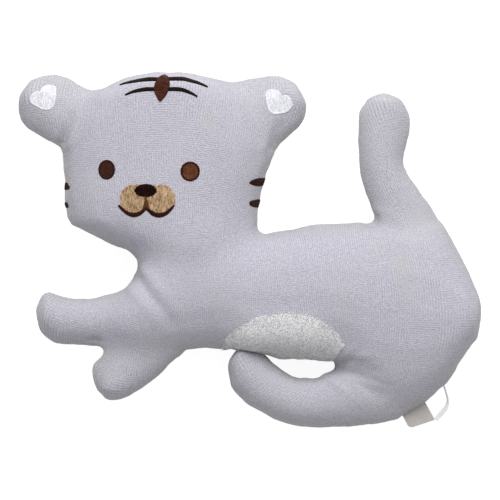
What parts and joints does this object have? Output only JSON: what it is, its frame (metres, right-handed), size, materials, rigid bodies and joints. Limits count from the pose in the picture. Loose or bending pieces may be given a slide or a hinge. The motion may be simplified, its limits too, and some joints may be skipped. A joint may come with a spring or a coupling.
{
  "type": "plush tiger",
  "caption": "Flat stuffed terry-cloth tiger with embroidered face, hearts on the ears, a pale belly patch, and soft limbs that flex at their roots.",
  "frame": {"origin": "centre of the toy's plan extent, on the table that its back panel rests on", "axes": "+X from the forepaws to the rump, +Y from the legs to the crown, +Z out of the front panel"},
  "size_m": [0.2818, 0.2178, 0.0571],
  "materials": {
    "terry": "soft looped terry knit, light lilac grey",
    "filling": "loose polyester fibre",
    "belly_terry": "longer looped terry, cream white",
    "eye_thread": "satin-stitched thread, reddish brown",
    "nose_thread": "satin-stitched thread, very dark brown",
    "mouth_thread": "satin-stitched thread, dark brown",
    "philtrum_thread": "satin-stitched thread, golden brown",
    "muzzle_thread": "fill-stitched thread, tan",
    "stripe_thread": "satin-stitched thread, near black",
    "heart_thread": "fill-stitched thread, white",
    "label_tape": "folded woven tape, beige grey",
    "ribbon_tape": "thin satin ribbon, white"
  },
  "bodies": {
    "torso": {"torso_front_panel": "terry", "torso_back_panel": "terry", "torso_filling": "filling", "belly_patch": "belly_terry"},
    "head": {"head_front_panel": "terry", "head_back_panel": "terry", "head_filling": "filling", "left_eye": "eye_thread", "right_eye": "eye_thread", "nose": "nose_thread", "mouth_line": "mouth_thread", "philtrum": "philtrum_thread", "left_muzzle": "muzzle_thread", "right_muzzle": "muzzle_thread", "forehead_spot": "eye_thread", "forehead_stripe_upper_left": "stripe_thread", "forehead_stripe_lower_left": "stripe_thread", "forehead_stripe_upper_right": "stripe_thread", "forehead_stripe_lower_right": "stripe_thread", "cheek_stripe_right_upper": "stripe_thread", "cheek_stripe_right_lower": "stripe_thread", "cheek_stripe_left_upper": "stripe_thread", "cheek_stripe_left_lower": "stripe_thread"},
    "left_ear": {"left_ear_front_panel": "terry", "left_ear_back_panel": "terry", "left_ear_filling": "filling", "left_ear_heart": "heart_thread"},
    "right_ear": {"right_ear_front_panel": "terry", "right_ear_back_panel": "terry", "right_ear_filling": "filling", "right_ear_heart": "heart_thread"},
    "reaching_foreleg": {"reaching_foreleg_front_panel": "terry", "reaching_foreleg_back_panel": "terry", "reaching_foreleg_filling": "filling"},
    "lowered_foreleg": {"lowered_foreleg_front_panel": "terry", "lowered_foreleg_back_panel": "terry", "lowered_foreleg_filling": "filling"},
    "hind_leg": {"hind_leg_front_panel": "terry", "hind_leg_back_panel": "terry", "hind_leg_filling": "filling"},
    "tail": {"tail_front_panel": "terry", "tail_back_panel": "terry", "tail_filling": "filling"},
    "label": {"care_label": "label_tape", "label_ribbon": "ribbon_tape"}
  },
  "joints": [
    {"name": "neck_flex", "type": "hinge", "parent": "torso", "child": "head", "pos_m": [-0.03048, 0.00304, 0.025], "axis": [0.9703, 0.2419, 0], "range_deg": [-12, 12], "stiffness_Nm_per_rad": 0.6},
    {"name": "left_ear_flex", "type": "hinge", "parent": "head", "child": "left_ear", "pos_m": [-0.09753, 0.07823, 0.025], "axis": [0.309, 0.9511, 0], "range_deg": [-18, 18], "stiffness_Nm_per_rad": 0.04},
    {"name": "right_ear_flex", "type": "hinge", "parent": "head", "child": "right_ear", "pos_m": [-0.00589, 0.07927, 0.025], "axis": [0.3907, -0.9205, 0], "range_deg": [-18, 18], "stiffness_Nm_per_rad": 0.04},
    {"name": "reaching_foreleg_flex", "type": "hinge", "parent": "torso", "child": "reaching_foreleg", "pos_m": [-0.06396, -0.04083, 0.025], "axis": [0, 1, 0], "range_deg": [-18, 18], "stiffness_Nm_per_rad": 0.12},
    {"name": "lowered_foreleg_flex", "type": "hinge", "parent": "torso", "child": "lowered_foreleg", "pos_m": [-0.06352, -0.04833, 0.025], "axis": [-0.9272, 0.3746, 0], "range_deg": [-18, 18], "stiffness_Nm_per_rad": 0.12},
    {"name": "hind_leg_flex", "type": "hinge", "parent": "torso", "child": "hind_leg", "pos_m": [0.08047, -0.07446, 0.025], "axis": [-0.788, 0.6157, 0], "range_deg": [-15, 15], "stiffness_Nm_per_rad": 0.25},
    {"name": "tail_flex", "type": "hinge", "parent": "torso", "child": "tail", "pos_m": [0.0992, 0.00649, 0.025], "axis": [0.9962, 0.0872, 0], "range_deg": [-20, 20], "stiffness_Nm_per_rad": 0.2},
    {"name": "label_flip", "type": "hinge", "parent": "torso", "child": "label", "pos_m": [0.09396, -0.10097, 0.025], "axis": [0.8401, 0.5425, 0], "range_deg": [-60, 60], "stiffness_Nm_per_rad": 0.00002}
  ]
}
